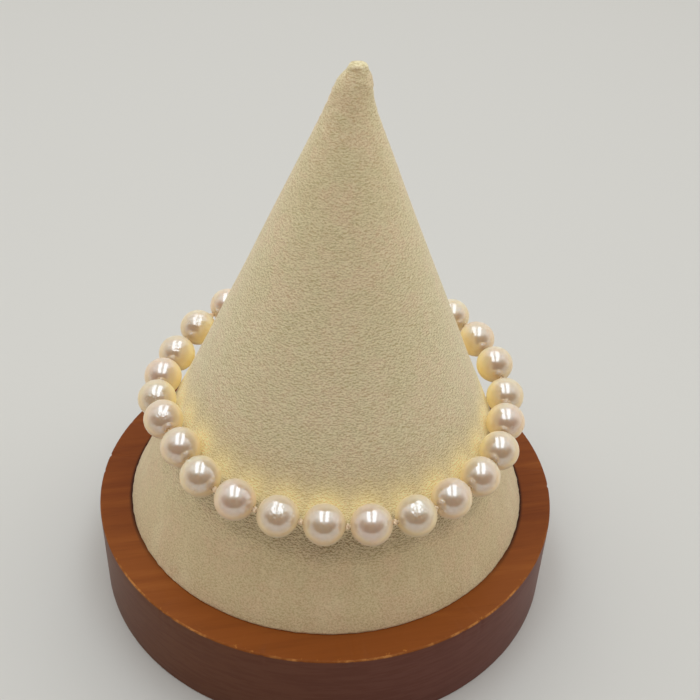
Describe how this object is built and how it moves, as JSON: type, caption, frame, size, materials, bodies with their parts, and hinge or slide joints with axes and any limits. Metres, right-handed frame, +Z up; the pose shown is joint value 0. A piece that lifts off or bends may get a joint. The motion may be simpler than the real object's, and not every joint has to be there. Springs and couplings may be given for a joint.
{
  "type": "pearl bracelet on cone display stand",
  "caption": "Round cream pearls knotted on a thread and closed by a barrel clasp, lying round a suede-covered cone on a round wooden base.",
  "frame": {"origin": "centre of the underside of the stand's round wooden base, which stands on the table", "axes": "+Z up along the cone, -Y to the side that the picture shows from the front, +X to its right"},
  "size_m": [0.0842, 0.0842, 0.0983],
  "materials": {
    "pearl": "gloss nacre",
    "thread": "twisted silk",
    "clasp": "satin",
    "suede": "matt nap",
    "wood": "stained, satin varnish"
  },
  "bodies": {
    "root": {"stand_base": "wood", "stand_cone": "suede", "pearl_01": "pearl", "pearl_02": "pearl", "pearl_03": "pearl", "pearl_04": "pearl", "pearl_05": "pearl", "pearl_06": "pearl", "pearl_07": "pearl", "pearl_08": "pearl", "pearl_09": "pearl", "pearl_10": "pearl", "pearl_11": "pearl", "pearl_12": "pearl", "pearl_13": "pearl", "pearl_14": "pearl", "pearl_15": "pearl", "pearl_16": "pearl", "pearl_17": "pearl", "pearl_18": "pearl", "pearl_19": "pearl", "pearl_20": "pearl", "pearl_21": "pearl", "pearl_22": "pearl", "pearl_23": "pearl", "pearl_24": "pearl", "pearl_25": "pearl", "clasp": "clasp", "thread": "thread"}
  },
  "joints": []
}
